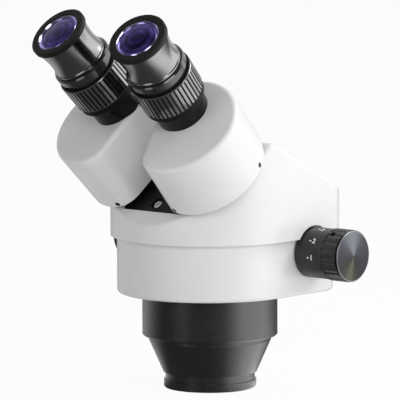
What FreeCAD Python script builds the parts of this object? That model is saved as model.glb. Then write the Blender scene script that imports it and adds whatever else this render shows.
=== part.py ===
# Binocular stereo zoom head, without its stand: two tilted optical channels in one housing.
# Millimetres. +X is the user's right, the user looks in from the -Y side, +Z is up.
# The origin is on the axis of the clamp barrel, at the underside of the housing.

import FreeCAD, Part
import math
import os
from FreeCAD import Vector

os.makedirs("parts", exist_ok=True)

# Barrel and its lower ring. Depths are measured down from the housing's underside.
clamp_radius = 38.0
clamp_length = 24.6
clamp_edge = 0.8
neck_radius = 34.35
neck_depth = 27.1
cone_end_radius = 26.3
cone_end_depth = 45.3
barrel_bore_radius = 31.0
barrel_bore_depth = 22.0
plate_seat_radius = 27.0
plate_seat_depth = 34.0
objective_plate_thickness = 3.0
cell_bore_radius = 24.6
ring_groove_radius = 25.1
ring_groove_length = 4.3
ring_radius = 26.0
ring_length = 4.5
ring_edge = 0.7
ring_spigot_length = 2.3
lens_thread_radius = 23.6

# Lower housing and upper cover
housing_half_width = 52.0
housing_back = 54.0
housing_corner = 13.4
housing_height = 32.2
housing_wall = 3.0
housing_edge_radius = 2.0
floor_thickness = 3.5
cover_overhang = 3.6
cover_wall = 3.2
cover_front_height = 42.4
cover_edge_radius = 2.5
cover_seat_height = 9.0
ridge_back = -9.3
ridge_radius = 5.0
roof_slope = 26.9
roof_back_radius = 12.0
eave_step = 0.8
housing_boss_radius = 5.0
housing_boss_inset = 3.0

# Directions of view and of the two channels
view_slope = 45.0
convergence = 5.5
fold_x = 22.4
fold_z = 43.0
rim_rise = 2.9
objective_x = 12.7
objective_depth = 45.0
objective_radius = 9.2
objective_cell_wall = 1.2
objective_cell_length = 10.5
objective_lens_thickness = 4.0
objective_lip = 1.0
objective_lens_start = 1.0

# Opening in the sloped front and the black casting that fills it
window_below_seat = 29.8
window_above_seat = 10.3
window_half_width = 21.0
window_seat_radius = 18.8
carrier_thickness = 7.3
carrier_flange = 4.0
carrier_boss_radius = 17.8
carrier_boss_depth = 16.0
seat_land_radius = 16.8
carrier_screw_inset = 6.1
lug_half_width = 6.0
lug_thickness = 4.5
flange_screw_x = 4.5
well_gap = 0.8

# Swinging prism boxes, measured along the swing axis from the rim
box_radius = 32.6
box_depth = 38.0
box_inward = 1.0
box_upward = 1.0
box_flat = 18.9
box_flat_angle = 193.0
box_corner = 12.4
box_wall = 2.5
box_edge_radius = 2.7
tube_inward = 6.5
tube_upward = 10.7
turntable_recess = 0.5
turntable_thickness = 3.0
journal_radius = 13.0
journal_bore_radius = 10.5
retainer_radius = 16.5
grub_radius = 1.5
grub_length = 5.0
grub_recess = 0.4
grub_angles = (12.0, 92.0, 262.0)

# Gear sectors that make the two boxes swing together
tooth_module = 1.5
tooth_backlash = 0.5
sector_teeth = 11
sector_width = 3.0
addendum_share = 0.75
dedendum_share = 1.1
pressure_angle = 20.0

# Eyepiece tube, dioptre ring, holder and eyepiece, measured up from the box face
tube_radius = 15.0
tube_bore_radius = 13.2
tube_top = 28.9
tube_flange_radius = 18.0
tube_flange_thickness = 2.5
snap_radius = 16.1
snap_height = 13.7
snap_thickness = 1.0
dioptre_start = 10.1
dioptre_end = 31.7
dioptre_radius = 18.3
dioptre_rib_start = 15.1
dioptre_rib_end = 30.8
dioptre_rib_depth = 0.45
dioptre_ribs = 44
dioptre_wall = 1.8
holder_start = 34.1
holder_end = 38.6
holder_radius = 17.2
holder_ledge_thickness = 2.0
holder_skirt_start = 17.1
eyepiece_radius = 15.2
eyepiece_barrel_radius = 12.0
eyepiece_barrel_start = 15.9
eyepiece_wall = 1.3
eyepiece_lip_radius = 15.9
eyepiece_lip_start = 39.2
eyepiece_waist_radius = 14.8
eyepiece_waist_height = 49.5
eyepiece_crown_radius = 16.1
eye_ring_start = 58.5
eye_ring_end = 61.7
eye_ring_radius = 16.9
eye_lens_radius = 12.9
eye_ring_bore_radius = 12.5
eye_lens_dome = 1.4
eye_lens_thickness = 4.6
eye_lens_rise = 0.2
field_lens_thickness = 3.0
lock_screw_height = 36.4
lock_screw_angle = {"right": -62.0, "left": 10.0}

# Zoom shaft, cam and knobs
shaft_y = 25.4
shaft_drop = 8.2
shaft_radius = 3.0
shaft_end_inset = 6.0
bush_radius = 6.0
bush_flange_radius = 8.5
bush_flange_thickness = 2.5
cam_thickness = 4.0
cam_radius = 18.2
cam_rest_radius = 11.0
cam_travel = 4.5
cam_half_turn = 135.0
cam_slot_run_on = 5.0
pin_radius = 1.25
knob_gap = 0.5
knob_sleeve_radius = 14.2
knob_sleeve_length = 17.5
knob_grip_radius = 14.6
knob_grip_length = 12.0
knob_flutes = 20
knob_flute_radius = 2.6
knob_flute_depth = 0.45
knob_recess_radius = 11.0
knob_recess_depth = 12.0
knob_hub_radius = 6.5
knob_cap_length = 2.0
knob_cap_bevel = 0.5
knob_cap_cone = 0.6
knob_pocket_gap = 0.5
knob_screw_place = 22.5
knob_screw_angle = 120.0
knob_screw_length = 3.5

# Zoom frame, guide rods and lens carriers
frame_floor = 2.5
frame_inset = 7.0
frame_cam_gap = 0.8
frame_top_thickness = 3.0
frame_top_front = 9.6
frame_side_inset = 8.0
frame_cheek = 3.0
channel_window_half_width = 10.5
channel_window_front = 11.0
channel_window_back = 12.4
rod_radius = 2.0
main_rod_y = 16.0
second_rod_y = 13.0
second_rod_reach = 12.0
carrier_ring_radius = 9.2
zoom_lens_radius = 7.8
sleeve_radius = 3.6
sleeve_length = 6.0
web_width = 5.0
web_thickness = 1.8
arm_size = 4.0
upper_lens_drop = 12.0
lower_lens_drop = 21.0
ring_height = 5.0
boss_gap = 0.9
upper_sleeve_rise = 6.2
lower_sleeve_drop = 5.8

# Fold prisms and their brackets
fold_prism_half = 8.0
fold_prism_height = 15.0
bracket_wall = 2.5
bracket_back = 20.0
prism_lift = 4.5
light_hole_radius = 7.4

# Fasteners and fits
screw_radius = 1.5
screw_head_radius = 2.75
screw_head_height = 2.4
barrel_screw_radius = 2.0
barrel_screw_head_radius = 3.5
barrel_screw_length = 15.0
running_gap = 0.05
seat_gap = 0.02
open_gap = 0.3
overlap = 0.5

# Values that follow from the ones above
inner_half_width = housing_half_width - housing_wall
inner_back = housing_back - housing_wall
inner_corner = housing_corner - housing_wall
barrel_screw_circle = (barrel_bore_radius + clamp_radius) / 2
long_reach = 2 * housing_back
cover_half_width = housing_half_width + cover_overhang
cover_back = housing_back + cover_overhang
cover_corner = housing_corner + cover_overhang
slope = math.radians(view_slope)
turn_in = math.radians(convergence)
view_axis = Vector(
    math.sin(turn_in), -math.cos(turn_in) * math.sin(slope), math.cos(turn_in) * math.cos(slope)
)
up_slope = Vector(0, math.cos(slope), math.sin(slope))
box_right = up_slope.cross(view_axis)
fold_point = Vector(fold_x, 0, fold_z)
slope_foot = Vector(0, -cover_half_width, cover_front_height)
slope_normal = Vector(0, -math.sin(slope), math.cos(slope))
fold_to_slope = (slope_foot - fold_point).dot(slope_normal) / view_axis.dot(slope_normal)
rim_centre = fold_point + view_axis * (fold_to_slope + rim_rise)
seat_rise = (rim_centre - slope_foot).dot(up_slope)
window_start = seat_rise - window_below_seat
window_end = seat_rise + window_above_seat
carrier_screw_rise = window_start + carrier_screw_inset
channel_tilt = math.atan((fold_x - objective_x) / (fold_z + objective_depth))
channel_axis = Vector(math.sin(channel_tilt), 0, math.cos(channel_tilt))
channel_base_x = fold_x - fold_z * math.tan(channel_tilt)
cam_lead = cam_travel / math.radians(cam_half_turn)
tube_offset = math.hypot(tube_inward, tube_upward)
tube_angle = math.degrees(math.atan2(tube_upward, -tube_inward))
knob_start = housing_half_width + knob_gap
knob_end = knob_start + knob_sleeve_length + knob_grip_length
shaft_z = housing_height - shaft_drop
shaft_length = 2 * (knob_end - shaft_end_inset)
frame_half_width = inner_half_width - frame_side_inset
frame_back = inner_back - frame_inset
frame_top_start = shaft_z + cam_radius + frame_cam_gap


def frame(origin, x_axis, y_axis, z_axis):
    return FreeCAD.Placement(
        FreeCAD.Matrix(
            x_axis.x, y_axis.x, z_axis.x, origin.x,
            x_axis.y, y_axis.y, z_axis.y, origin.y,
            x_axis.z, y_axis.z, z_axis.z, origin.z,
            0, 0, 0, 1,
        )
    )


# The box frame has its origin on the swing axis at the rim, with Z along the line of view.
box_frame = frame(rim_centre, box_right, up_slope, view_axis)
# The slope frame lies on the sloped front: X across, Y up the slope, Z out of it.
slope_frame = frame(slope_foot, Vector(1, 0, 0), up_slope, slope_normal)
# The channel frame has Z along the right optical channel.
channel_frame = frame(
    Vector(channel_base_x, 0, 0),
    Vector(math.cos(channel_tilt), 0, -math.sin(channel_tilt)),
    Vector(0, 1, 0),
    channel_axis,
)
knob_frame = frame(Vector(0, shaft_y, shaft_z), Vector(0, 1, 0), Vector(0, 0, 1), Vector(1, 0, 0))
tube_place = Vector(-tube_inward, tube_upward, box_depth)
box_middle = Vector(-box_inward, box_upward, 0)


def placed(shape, placement):
    moved = shape.copy()
    moved.Placement = placement.multiply(moved.Placement)
    return moved


def mirrored(shape):
    return shape.mirror(Vector(0, 0, 0), Vector(1, 0, 0))


def save(name, *solids):
    shape = solids[0] if len(solids) == 1 else Part.makeCompound(list(solids))
    shape.exportStep("parts/" + name + ".step")


def save_pair(name, shape):
    save("right_" + name, shape)
    save("left_" + name, mirrored(shape))


def block(x0, x1, y0, y1, z0, z1):
    return Part.makeBox(x1 - x0, y1 - y0, z1 - z0, Vector(x0, y0, z0))


def rod(radius, start, end, x=0.0, y=0.0):
    return Part.makeCylinder(radius, end - start, Vector(x, y, start), Vector(0, 0, 1))


def pipe(outer, inner, start, end, x=0.0, y=0.0):
    return rod(outer, start, end, x, y).cut(rod(inner, start, end, x, y))


def turned(points):
    # A solid of revolution about Z, from (radius, height) corners in order.
    corners = [Vector(radius, 0, height) for radius, height in points]
    face = Part.Face(Part.makePolygon(corners + corners[:1]))
    return face.revolve(Vector(0, 0, 0), Vector(0, 0, 1), 360)


def pan_screw(radius, head_radius, head_height, length):
    # Stands with its head above z = 0 and its shank below.
    head = rod(head_radius, 0, head_height)
    head = head.makeFillet(head_height * 0.4, [edge_at_height(head, head_height)])
    socket = hexagon(radius * 0.85, head_height * 0.4, head_height + 1)
    return head.fuse(rod(radius, -length, 0)).cut(socket)


def hexagon(radius, start, end):
    corners = []
    for step in range(6):
        angle = math.radians(60 * step)
        corners.append(Vector(radius * math.cos(angle), radius * math.sin(angle), start))
    face = Part.Face(Part.makePolygon(corners + corners[:1]))
    return face.extrude(Vector(0, 0, end - start))


def edge_at_height(shape, height):
    for edge in shape.Edges:
        box = edge.BoundBox
        if abs(box.ZMin - height) < 0.001 and abs(box.ZMax - height) < 0.001:
            return edge
    raise ValueError("no edge at the height asked for")


def housing_plan(half_width, back, corner, z):
    # Round at the front about the barrel axis, straight at the sides, with two back corners.
    side_end = back - corner
    diagonal = corner * math.sqrt(0.5)
    in_x = half_width - corner
    edges = [
        Part.Arc(Vector(-half_width, 0, z), Vector(0, -half_width, z), Vector(half_width, 0, z)),
        Part.LineSegment(Vector(half_width, 0, z), Vector(half_width, side_end, z)),
        Part.Arc(
            Vector(half_width, side_end, z),
            Vector(in_x + diagonal, side_end + diagonal, z),
            Vector(in_x, back, z),
        ),
        Part.LineSegment(Vector(in_x, back, z), Vector(-in_x, back, z)),
        Part.Arc(
            Vector(-in_x, back, z),
            Vector(-in_x - diagonal, side_end + diagonal, z),
            Vector(-half_width, side_end, z),
        ),
        Part.LineSegment(Vector(-half_width, side_end, z), Vector(-half_width, 0, z)),
    ]
    return Part.Face(Part.Wire([edge.toShape() for edge in edges]))


def housing_solid(half_width, back, corner, start, end):
    return housing_plan(half_width, back, corner, start).extrude(Vector(0, 0, end - start))


def box_plan(inset, z):
    # A circle with one flat whose two corners are rounded, a little off the swing axis.
    radius = box_radius - inset
    flat = box_flat - inset
    corner = box_corner - inset
    reach = radius - corner
    half = math.sqrt(reach**2 - (flat - corner) ** 2)
    turn = math.atan2(half, flat - corner)
    edges = [Part.LineSegment(Vector(flat, -half, z), Vector(flat, half, z))]
    for sign in (1, -1):
        centre = Vector(flat - corner, sign * half, z)
        middle = Vector(math.cos(turn / 2), sign * math.sin(turn / 2), 0)
        far = Vector(math.cos(turn), sign * math.sin(turn), 0)
        edges.append(Part.Arc(centre + Vector(corner, 0, 0), centre + middle * corner, centre + far * corner))
    low = Vector(radius * math.cos(turn), -radius * math.sin(turn), z)
    high = Vector(radius * math.cos(turn), radius * math.sin(turn), z)
    edges.append(Part.Arc(high, Vector(-radius, 0, z), low))
    wire = Part.Wire(Part.__sortEdges__([edge.toShape() for edge in edges]))
    wire.rotate(Vector(0, 0, 0), Vector(0, 0, 1), box_flat_angle)
    wire.translate(box_middle)
    return Part.Face(wire)


def cover_profile(drop, base, back):
    # Side view of the cover: sloped front, ridge, roof and round back, moved in by one wall.
    fall = math.radians(roof_slope)
    ridge_z = cover_front_height + (ridge_back + cover_half_width) * math.tan(slope)
    front_shift = drop / math.cos(slope)
    roof_shift = drop / math.cos(fall)
    ridge_y = ridge_back + (front_shift - roof_shift) / (math.tan(slope) + math.tan(fall))
    ridge_z = ridge_z - roof_shift - (ridge_y - ridge_back) * math.tan(fall)
    front_y = -cover_half_width - cover_overhang
    front_z = ridge_z - (ridge_y - front_y) * math.tan(slope)
    eave_z = ridge_z - (back - ridge_y) * math.tan(fall)
    ridge = rounded_corner(
        Vector(0, front_y, front_z), Vector(0, ridge_y, ridge_z), Vector(0, back, eave_z),
        ridge_radius - drop,
    )
    eave = rounded_corner(
        Vector(0, ridge_y, ridge_z), Vector(0, back, eave_z), Vector(0, back, base),
        roof_back_radius - drop,
    )
    low_front = Vector(0, front_y, min(front_z, base) - cover_overhang)
    low_back = Vector(0, back, low_front.z)
    edges = [
        Part.LineSegment(low_front, Vector(0, front_y, front_z)).toShape(),
        Part.LineSegment(Vector(0, front_y, front_z), ridge[0]).toShape(),
        Part.Arc(*ridge).toShape(),
        Part.LineSegment(ridge[2], eave[0]).toShape(),
        Part.Arc(*eave).toShape(),
        Part.LineSegment(eave[2], low_back).toShape(),
        Part.LineSegment(low_back, low_front).toShape(),
    ]
    return Part.Face(Part.Wire(edges))


def rounded_corner(before, corner, after, radius):
    # Start, middle and end of the arc that rounds a corner between two straight runs.
    back_way = (before - corner).normalize()
    on_way = (after - corner).normalize()
    half_angle = back_way.getAngle(on_way) / 2
    reach = radius / math.tan(half_angle)
    middle_way = (back_way + on_way).normalize()
    middle = corner + middle_way * (radius / math.sin(half_angle) - radius)
    return corner + back_way * reach, middle, corner + on_way * reach


def cover_form(drop, base):
    # The space between the plan walls and the side profile, both moved in by one wall.
    half_width = cover_half_width - drop
    back = cover_back - drop
    plan = housing_solid(half_width, back, cover_corner - drop, base, base + cover_half_width * 2)
    profile = cover_profile(drop, base, back + eave_step)
    reach = cover_half_width + cover_overhang
    profile.translate(Vector(-reach, 0, 0))
    prism = profile.extrude(Vector(2 * reach, 0, 0))
    return plan.common(prism)


def on_plan_edge(point, half_width, back, corner):
    # True where a point lies on the upright walls of the housing plan.
    if point.y <= 0:
        return abs(math.hypot(point.x, point.y) - half_width) < 0.01
    in_x = half_width - corner
    side_end = back - corner
    if abs(point.x) > in_x and point.y > side_end:
        return abs(math.hypot(abs(point.x) - in_x, point.y - side_end) - corner) < 0.01
    return abs(abs(point.x) - half_width) < 0.01 or abs(point.y - back) < 0.01


def cover_top_edges(shape):
    # The edges between the walls and the slope, roof and round back.
    chosen = []
    for edge in shape.Edges:
        box = edge.BoundBox
        upright = box.XLength < 0.01 and box.YLength < 0.01
        if upright or box.ZMin < housing_height + 1:
            continue
        middle = edge.valueAt((edge.FirstParameter + edge.LastParameter) / 2)
        if on_plan_edge(middle, cover_half_width, cover_back, cover_corner):
            chosen.append(edge)
    return chosen


def housing_boss_places():
    # Two in the back corners and two on the front curve, each sunk a little into the wall.
    shift = (inner_corner - housing_boss_radius + housing_boss_inset / 2) * math.sqrt(0.5)
    back_x = inner_half_width - inner_corner + shift
    back_y = inner_back - inner_corner + shift
    front = (inner_half_width - housing_boss_inset) * math.sqrt(0.5)
    return [(back_x, back_y), (-back_x, back_y), (front, -front), (-front, -front)]


def barrel_screw_places():
    reach = barrel_screw_circle * math.sqrt(0.5)
    return [(reach, reach), (-reach, reach), (reach, -reach), (-reach, -reach)]


def side_cylinder(radius, x0, x1, y=shaft_y, z=shaft_z):
    return Part.makeCylinder(radius, x1 - x0, Vector(x0, y, z), Vector(1, 0, 0))


def lower_housing():
    body = housing_solid(housing_half_width, housing_back, housing_corner, 0, housing_height)
    bottom = [edge for edge in body.Edges if edge.BoundBox.ZMax < 0.01]
    body = body.makeFillet(housing_edge_radius, bottom)
    body = body.cut(
        housing_solid(inner_half_width, inner_back, inner_corner, floor_thickness, housing_height + 1)
    )
    body = body.cut(rod(barrel_bore_radius, -1, floor_thickness + 1))
    for x, y in housing_boss_places():
        body = body.fuse(rod(housing_boss_radius, floor_thickness / 2, housing_height, x, y))
    for x, y in housing_boss_places():
        body = body.cut(rod(screw_radius + seat_gap, -1, housing_height + 1, x, y))
        body = body.cut(rod(screw_head_radius + seat_gap, -1, floor_thickness, x, y))
    for x, y in barrel_screw_places():
        body = body.cut(rod(barrel_screw_radius + seat_gap, -1, floor_thickness + 1, x, y))
    reach = housing_half_width + 1
    body = body.cut(side_cylinder(bush_radius + seat_gap, -reach, reach))
    return body


def slope_block(x0, x1, y0, y1, z0, z1):
    return placed(block(x0, x1, y0, y1, z0, z1), slope_frame)


def window_outline(grow, z):
    # The opening on the slope: a straight lower edge between two round seats.
    across = window_half_width + grow
    to_slope = slope_frame.inverse()
    seat = to_slope.multVec(rim_centre)
    lean = to_slope.Rotation.multVec(view_axis)
    seat = seat - lean * ((seat.z + cover_wall / 2) / lean.z)
    middle = Part.makePlane(
        2 * across, window_end - window_start + 2 * grow, Vector(-across, window_start - grow, z)
    )
    outline = middle
    for sign in (1, -1):
        centre = Vector(sign * seat.x, seat.y, z)
        circle = Part.makeCircle(window_seat_radius + grow, centre, Vector(0, 0, 1))
        outline = outline.fuse(Part.Face(Part.Wire([circle])))
    return outline.removeSplitter()


def window_solid(grow, z0, z1):
    solid = window_outline(grow, z0).extrude(Vector(0, 0, z1 - z0))
    return placed(solid, slope_frame)


def upper_cover():
    body = cover_form(0, housing_height)
    body = body.makeFillet(cover_edge_radius, cover_top_edges(body))
    seat_top = housing_height + cover_seat_height
    body = body.cut(cover_form(cover_wall, seat_top))
    body = body.cut(
        housing_solid(inner_half_width, inner_back, inner_corner, housing_height - 1, seat_top + 1)
    )
    boss_top = housing_height + cover_seat_height
    for x, y in housing_boss_places():
        boss = rod(housing_boss_radius, housing_height, boss_top, x, y)
        body = body.fuse(boss).cut(rod(screw_radius + seat_gap, housing_height - 1, boss_top, x, y))
    for sign in (1, -1):
        pocket = side_cylinder(
            knob_grip_radius + knob_pocket_gap, housing_half_width + 0.2, cover_half_width + 1
        )
        body = body.cut(pocket if sign > 0 else mirrored(pocket))
    body = body.cut(window_solid(0, -cover_wall - 1, cover_edge_radius))
    low = -carrier_thickness - lug_thickness
    lug = slope_block(
        -lug_half_width, lug_half_width, window_start - 5, window_start - open_gap, low, -cover_wall / 2
    )
    tongue = slope_block(
        -lug_half_width, lug_half_width, window_start - 5, carrier_screw_rise + 5, low,
        -carrier_thickness - open_gap / 2,
    )
    inside = cover_form(cover_wall / 2, housing_height)
    body = body.fuse(lug.fuse(tongue).common(inside))
    hole = rod(screw_radius + seat_gap, low - 1, 0, 0, carrier_screw_rise)
    body = body.cut(placed(hole, slope_frame))
    for sign in (1, -1):
        place = flange_screw_place(sign)
        hole = rod(screw_radius + seat_gap, -cover_wall - 1, -0.8, place.x, place.y)
        body = body.cut(placed(hole, slope_frame))
    return body


def flange_screw_place(sign):
    return Vector(sign * flange_screw_x, window_end + carrier_flange / 2, 0)


def objective_barrel():
    outside = [
        (barrel_bore_radius, 0),
        (clamp_radius, 0),
        (clamp_radius, -clamp_length + clamp_edge),
        (clamp_radius - clamp_edge, -clamp_length),
        (neck_radius, -clamp_length),
        (neck_radius, -neck_depth),
        (cone_end_radius, -cone_end_depth),
        (cell_bore_radius, -cone_end_depth),
        (cell_bore_radius, -plate_seat_depth),
        (plate_seat_radius, -plate_seat_depth),
        (plate_seat_radius, -plate_seat_depth + objective_plate_thickness + 1),
        (barrel_bore_radius, -barrel_bore_depth),
    ]
    body = turned(outside)
    for x, y in barrel_screw_places():
        body = body.cut(rod(barrel_screw_radius + seat_gap, -barrel_screw_length, 1, x, y))
    return body


def thread_ring():
    spigot = cell_bore_radius - seat_gap
    groove_end = cone_end_depth + ring_groove_length
    bottom = groove_end + ring_length
    return turned(
        [
            (lens_thread_radius, -cone_end_depth + ring_spigot_length),
            (spigot, -cone_end_depth + ring_spigot_length),
            (spigot, -cone_end_depth),
            (ring_groove_radius, -cone_end_depth),
            (ring_groove_radius, -groove_end),
            (ring_radius, -groove_end),
            (ring_radius, -bottom + ring_edge),
            (ring_radius - ring_edge, -bottom),
            (lens_thread_radius + ring_edge, -bottom),
            (lens_thread_radius, -bottom + ring_edge),
        ]
    )


def channel_height(z):
    # Distance along the channel from its foot, for a height above the housing's underside.
    return z / math.cos(channel_tilt)


def objective_cell_ends():
    top = channel_height(-plate_seat_depth + objective_plate_thickness)
    return top - objective_cell_length, top


def objective_plate():
    top = -plate_seat_depth + objective_plate_thickness
    plate = rod(plate_seat_radius - seat_gap, -plate_seat_depth, top)
    low, high = objective_cell_ends()
    lip_start = low + objective_lens_start + objective_lens_thickness
    for sign in (1, -1):
        cell = placed(rod(objective_radius + objective_cell_wall, low, high), channel_frame)
        bore = placed(rod(objective_radius + seat_gap, low - 1, high + 2), channel_frame)
        lip = pipe(
            objective_radius + seat_gap, objective_radius - objective_lip,
            lip_start, lip_start + objective_lip,
        )
        lip = placed(lip, channel_frame)
        if sign < 0:
            cell, bore, lip = mirrored(cell), mirrored(bore), mirrored(lip)
        plate = plate.fuse(cell).cut(bore).fuse(lip)
    return plate.common(rod(plate_seat_radius, -plate_seat_depth - objective_cell_length, top))


def objective_lens():
    low = objective_cell_ends()[0] + objective_lens_start
    lens = rod(objective_radius, low, low + objective_lens_thickness)
    return placed(lens, channel_frame)


def frame_plate_outline(z0, z1):
    half_width = inner_half_width - frame_inset
    return housing_solid(half_width, inner_back - frame_inset / 2, inner_corner, z0, z1)


def channel_window(z0, z1):
    centre = channel_base_x + floor_thickness * math.tan(channel_tilt)
    window = block(
        centre - channel_window_half_width, centre + channel_window_half_width,
        -channel_window_front, channel_window_back, z0, z1,
    )
    return window


def guide_rod(x_reach, y, grow):
    # One rod beside the right channel, parallel to it, cut level at both plates.
    bar = rod(rod_radius + grow, -long_reach, long_reach, x_reach, y)
    return placed(bar, channel_frame)


def guide_rods():
    rods = []
    for reach, y in ((0.0, main_rod_y), (second_rod_reach, second_rod_y)):
        bar = guide_rod(reach, y, 0)
        top = frame_top_start + frame_top_thickness
        bar = bar.common(
            block(-long_reach, long_reach, -long_reach, long_reach, floor_thickness, top)
        )
        rods.append(bar)
        rods.append(mirrored(bar))
    return rods


def zoom_frame():
    top = frame_top_start + frame_top_thickness
    plate_top = floor_thickness + frame_floor
    body = frame_plate_outline(floor_thickness, plate_top)
    body = body.fuse(
        block(-frame_half_width, frame_half_width, frame_top_front, frame_back, frame_top_start, top)
    )
    for sign in (1, -1):
        outer = sign * frame_half_width
        inner = sign * (frame_half_width - frame_cheek)
        low, high = min(inner, outer), max(inner, outer)
        body = body.fuse(block(low, high, frame_top_front, frame_back, floor_thickness, top))
        window = channel_window(floor_thickness - 1, plate_top + 1)
        body = body.cut(window if sign > 0 else mirrored(window))
        for reach, y in ((0.0, main_rod_y), (second_rod_reach, second_rod_y)):
            hole = guide_rod(reach, y, seat_gap)
            body = body.cut(hole if sign > 0 else mirrored(hole))
    body = body.cut(side_cylinder(bush_flange_radius, -frame_half_width - 1, frame_half_width + 1))
    slot = cam_thickness / 2 + 1.5
    cam_room = cam_radius + 1.5
    body = body.cut(
        block(-slot, slot, shaft_y - cam_room, shaft_y + cam_room, floor_thickness - 1, plate_top + 1)
    )
    for x, y in barrel_screw_places():
        body = body.cut(rod(barrel_screw_radius + seat_gap, floor_thickness - 1, plate_top + 1, x, y))
    for x, y in housing_boss_places():
        body = body.cut(rod(housing_boss_radius + open_gap, 0, top + 1, x, y))
    return body


def barrel_screws():
    screws = []
    for x, y in barrel_screw_places():
        screw = pan_screw(
            barrel_screw_radius, barrel_screw_head_radius, screw_head_height, barrel_screw_length
        )
        screw.translate(Vector(x, y, floor_thickness + frame_floor))
        screws.append(screw)
    return screws


def housing_screws():
    length = housing_height + cover_seat_height - floor_thickness - 1
    screws = []
    for x, y in housing_boss_places():
        screw = pan_screw(screw_radius, screw_head_radius, screw_head_height, length)
        screw.rotate(Vector(0, 0, 0), Vector(1, 0, 0), 180)
        screw.translate(Vector(x, y, floor_thickness))
        screws.append(screw)
    return screws


def shaft_bush():
    wall_in = inner_half_width
    bush = side_cylinder(bush_radius, wall_in, housing_half_width)
    bush = bush.fuse(side_cylinder(bush_flange_radius, wall_in - bush_flange_thickness, wall_in))
    bore = side_cylinder(shaft_radius + running_gap, wall_in - 5, housing_half_width + 1)
    return bush.cut(bore)


def seat_boss():
    # The round seat of a box, with a smaller land that reaches just inside the rim.
    boss = rod(carrier_boss_radius, -carrier_boss_depth, -open_gap)
    return boss.fuse(rod(seat_land_radius, -carrier_boss_depth, turntable_recess - open_gap))


def seat_bore(radius):
    return placed(rod(radius, -carrier_boss_depth - 1, box_depth), box_frame)


def binocular_carrier():
    body = window_solid(-open_gap, -carrier_thickness, 0)
    flange = window_solid(carrier_flange, -carrier_thickness, -cover_wall - open_gap)
    body = body.fuse(flange.common(cover_form(cover_wall + open_gap, housing_height)))
    boss = placed(seat_boss(), box_frame)
    body = body.fuse(boss).fuse(mirrored(boss))
    bore = seat_bore(journal_radius + running_gap)
    body = body.cut(bore).cut(mirrored(bore))
    notch = slope_block(
        -lug_half_width - open_gap, lug_half_width + open_gap, window_start - 10, window_start,
        -carrier_thickness - 1, 0,
    )
    body = body.cut(notch)
    well = rod(screw_head_radius + well_gap, -screw_head_height - 1, 1, 0, carrier_screw_rise)
    hole = rod(screw_radius + seat_gap, -carrier_thickness - 1, 1, 0, carrier_screw_rise)
    body = body.cut(placed(well.fuse(hole), slope_frame))
    for sign in (1, -1):
        place = flange_screw_place(sign)
        hole = rod(screw_radius + seat_gap, -carrier_thickness - 1, 0, place.x, place.y)
        body = body.cut(placed(hole, slope_frame))
    return body


def carrier_screws():
    front = pan_screw(
        screw_radius, screw_head_radius, screw_head_height, carrier_thickness + lug_thickness - 4
    )
    front.translate(Vector(0, carrier_screw_rise, -screw_head_height - 1))
    screws = [placed(front, slope_frame)]
    for sign in (1, -1):
        screw = pan_screw(screw_radius, screw_head_radius, screw_head_height, carrier_thickness - 1)
        screw.rotate(Vector(0, 0, 0), Vector(1, 0, 0), 180)
        place = flange_screw_place(sign)
        screw.translate(Vector(place.x, place.y, -carrier_thickness))
        screws.append(placed(screw, slope_frame))
    return screws


def prism_casing():
    body = box_plan(0, 0).extrude(Vector(0, 0, box_depth))
    top = [edge for edge in body.Edges if edge.BoundBox.ZMin > box_depth - 0.01]
    body = body.makeFillet(box_edge_radius, top)
    body = body.cut(box_plan(box_wall, -1).extrude(Vector(0, 0, box_depth - box_wall + 1)))
    hole = rod(tube_radius + seat_gap, box_depth - box_wall - 1, box_depth + 1)
    hole.translate(Vector(tube_place.x, tube_place.y, 0))
    body = body.cut(hole)
    for angle in grub_angles:
        body = body.cut(grub_cylinder(angle, grub_radius + seat_gap, box_radius + 1))
    return placed(body, box_frame)


def grub_cylinder(angle, radius, end):
    start = box_radius - box_wall - grub_length / 2
    pin = Part.makeCylinder(
        radius, end - start, Vector(start, 0, turntable_recess + turntable_thickness / 2), Vector(1, 0, 0)
    )
    pin.rotate(Vector(0, 0, 0), Vector(0, 0, 1), angle)
    pin.translate(box_middle)
    return pin


def casing_screws():
    screws = []
    for angle in grub_angles:
        pin = grub_cylinder(angle, grub_radius, box_radius - grub_recess)
        screws.append(placed(pin, box_frame))
    return screws


def turntable():
    top = turntable_recess + turntable_thickness
    plate = box_plan(box_wall + seat_gap, turntable_recess).extrude(Vector(0, 0, turntable_thickness))
    low = -carrier_boss_depth - open_gap - sector_width
    journal = rod(journal_radius, low, top)
    body = plate.fuse(journal).cut(rod(journal_bore_radius, low - 1, top + 1))
    for angle in grub_angles:
        body = body.cut(grub_cylinder(angle, grub_radius + seat_gap, box_radius))
    return placed(body, box_frame)


def sector_pitch_radius():
    level = -carrier_boss_depth - open_gap - sector_width / 2
    centre = rim_centre + view_axis * level
    return centre.x / math.cos(turn_in)


def sector_tooth(angle, pitch_radius):
    # A tooth with straight flanks that lean as much as the usual pressure angle.
    addendum = tooth_module * addendum_share
    dedendum = tooth_module * dedendum_share
    half = math.pi * tooth_module / 4 - tooth_backlash / 2
    lean = math.tan(math.radians(pressure_angle))
    tip = half - addendum * lean
    root = half + dedendum * lean
    low = -carrier_boss_depth - open_gap - sector_width
    inner = pitch_radius - dedendum - overlap
    corners = [
        Vector(inner, -root, low),
        Vector(pitch_radius + addendum, -tip, low),
        Vector(pitch_radius + addendum, tip, low),
        Vector(inner, root, low),
    ]
    face = Part.Face(Part.makePolygon(corners + corners[:1]))
    tooth = face.extrude(Vector(0, 0, sector_width))
    tooth.rotate(Vector(0, 0, 0), Vector(0, 0, 1), angle)
    return tooth


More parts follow.
